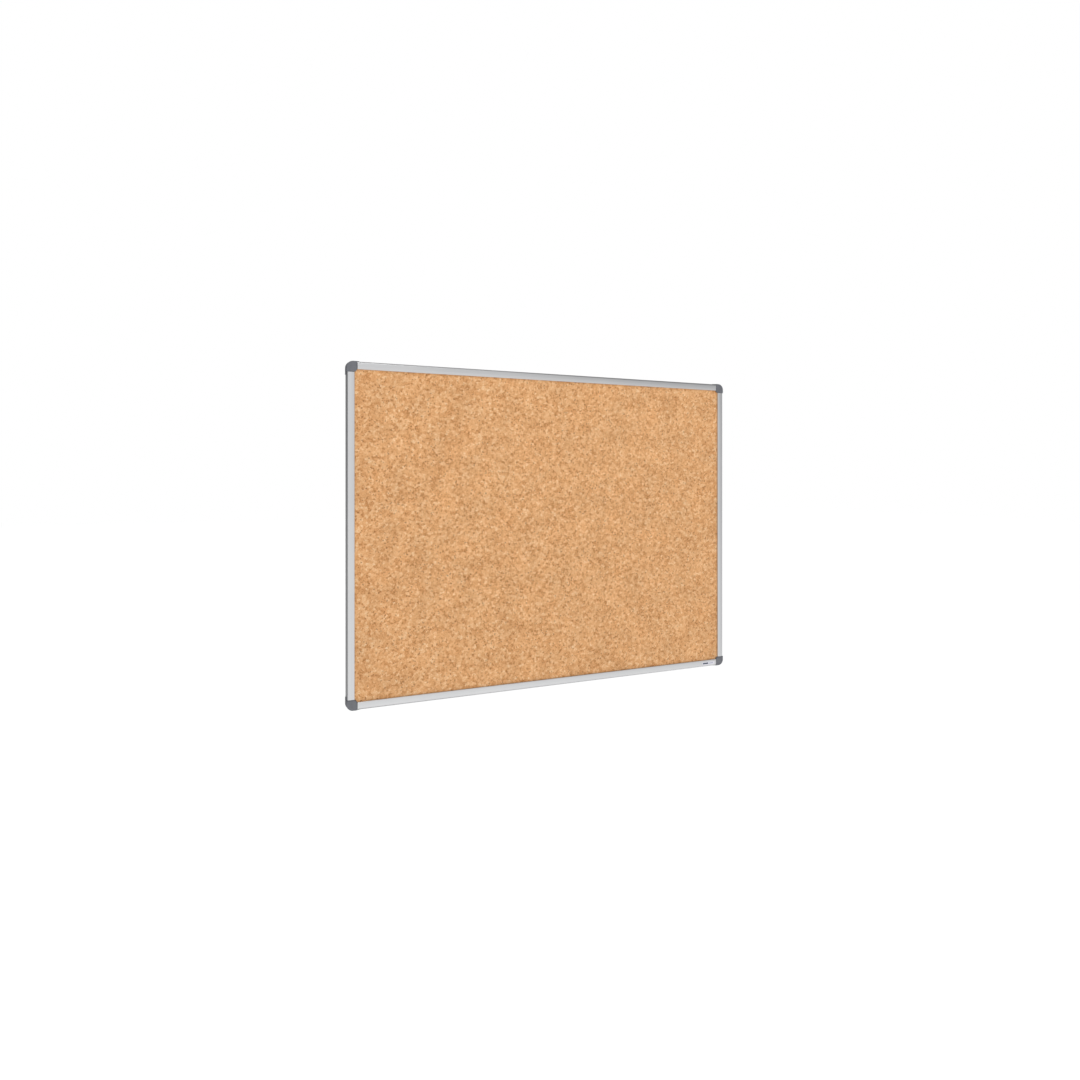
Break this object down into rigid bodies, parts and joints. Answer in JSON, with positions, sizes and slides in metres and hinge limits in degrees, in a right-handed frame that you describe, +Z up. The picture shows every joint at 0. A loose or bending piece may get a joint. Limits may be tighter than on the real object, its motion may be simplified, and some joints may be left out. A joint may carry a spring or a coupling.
{
  "type": "cork bulletin board",
  "caption": "Wall-hung cork pinboard: a bonded cork panel in a satin aluminium frame with rounded plastic corners whose caps swing open over the wall screws.",
  "frame": {"origin": "centre of the board's back, in the plane of the wall", "axes": "+X to the right as seen from the front, +Z up, -Y out of the wall towards the room"},
  "size_m": [1.2, 0.019, 0.9],
  "materials": {
    "cork": "fine granulated cork, sanded, open and matt",
    "softboard": "raw softboard, matt and fibrous",
    "hardboard": "hardboard with a mesh-marked back, matt",
    "aluminium": "satin anodised",
    "grey_moulding": "moulded ABS, fine texture",
    "screw_steel": "bright zinc plated",
    "label": "printed foil, semi-gloss"
  },
  "bodies": {
    "board": {"hardboard_back": "hardboard", "softboard_core": "softboard", "cork_sheet": "cork", "maker_label": "label", "bottom_rail": "aluminium", "bottom_rail_screw_left": "screw_steel", "bottom_rail_screw_right": "screw_steel", "top_rail": "aluminium", "top_rail_screw_left": "screw_steel", "top_rail_screw_right": "screw_steel", "left_rail": "aluminium", "left_rail_screw_top": "screw_steel", "left_rail_screw_bottom": "screw_steel", "right_rail": "aluminium", "right_rail_screw_top": "screw_steel", "right_rail_screw_bottom": "screw_steel", "bottom_left_corner_body": "grey_moulding", "bottom_right_corner_body": "grey_moulding", "top_left_corner_body": "grey_moulding", "top_right_corner_body": "grey_moulding"},
    "bottom_left_cap": {"bottom_left_corner_cap": "grey_moulding"},
    "bottom_right_cap": {"bottom_right_corner_cap": "grey_moulding"},
    "top_left_cap": {"top_left_corner_cap": "grey_moulding"},
    "top_right_cap": {"top_right_corner_cap": "grey_moulding"}
  },
  "joints": [
    {"name": "bottom_left_cap_hinge", "type": "hinge", "parent": "board", "child": "bottom_left_cap", "pos_m": [-0.5748, -0.016, -0.44], "axis": [0, 0, 1], "range_deg": [0, 95]},
    {"name": "bottom_right_cap_hinge", "type": "hinge", "parent": "board", "child": "bottom_right_cap", "pos_m": [0.5748, -0.016, -0.44], "axis": [0, 0, -1], "range_deg": [0, 95]},
    {"name": "top_left_cap_hinge", "type": "hinge", "parent": "board", "child": "top_left_cap", "pos_m": [-0.5748, -0.016, 0.44], "axis": [0, 0, 1], "range_deg": [0, 95]},
    {"name": "top_right_cap_hinge", "type": "hinge", "parent": "board", "child": "top_right_cap", "pos_m": [0.5748, -0.016, 0.44], "axis": [0, 0, -1], "range_deg": [0, 95]}
  ]
}
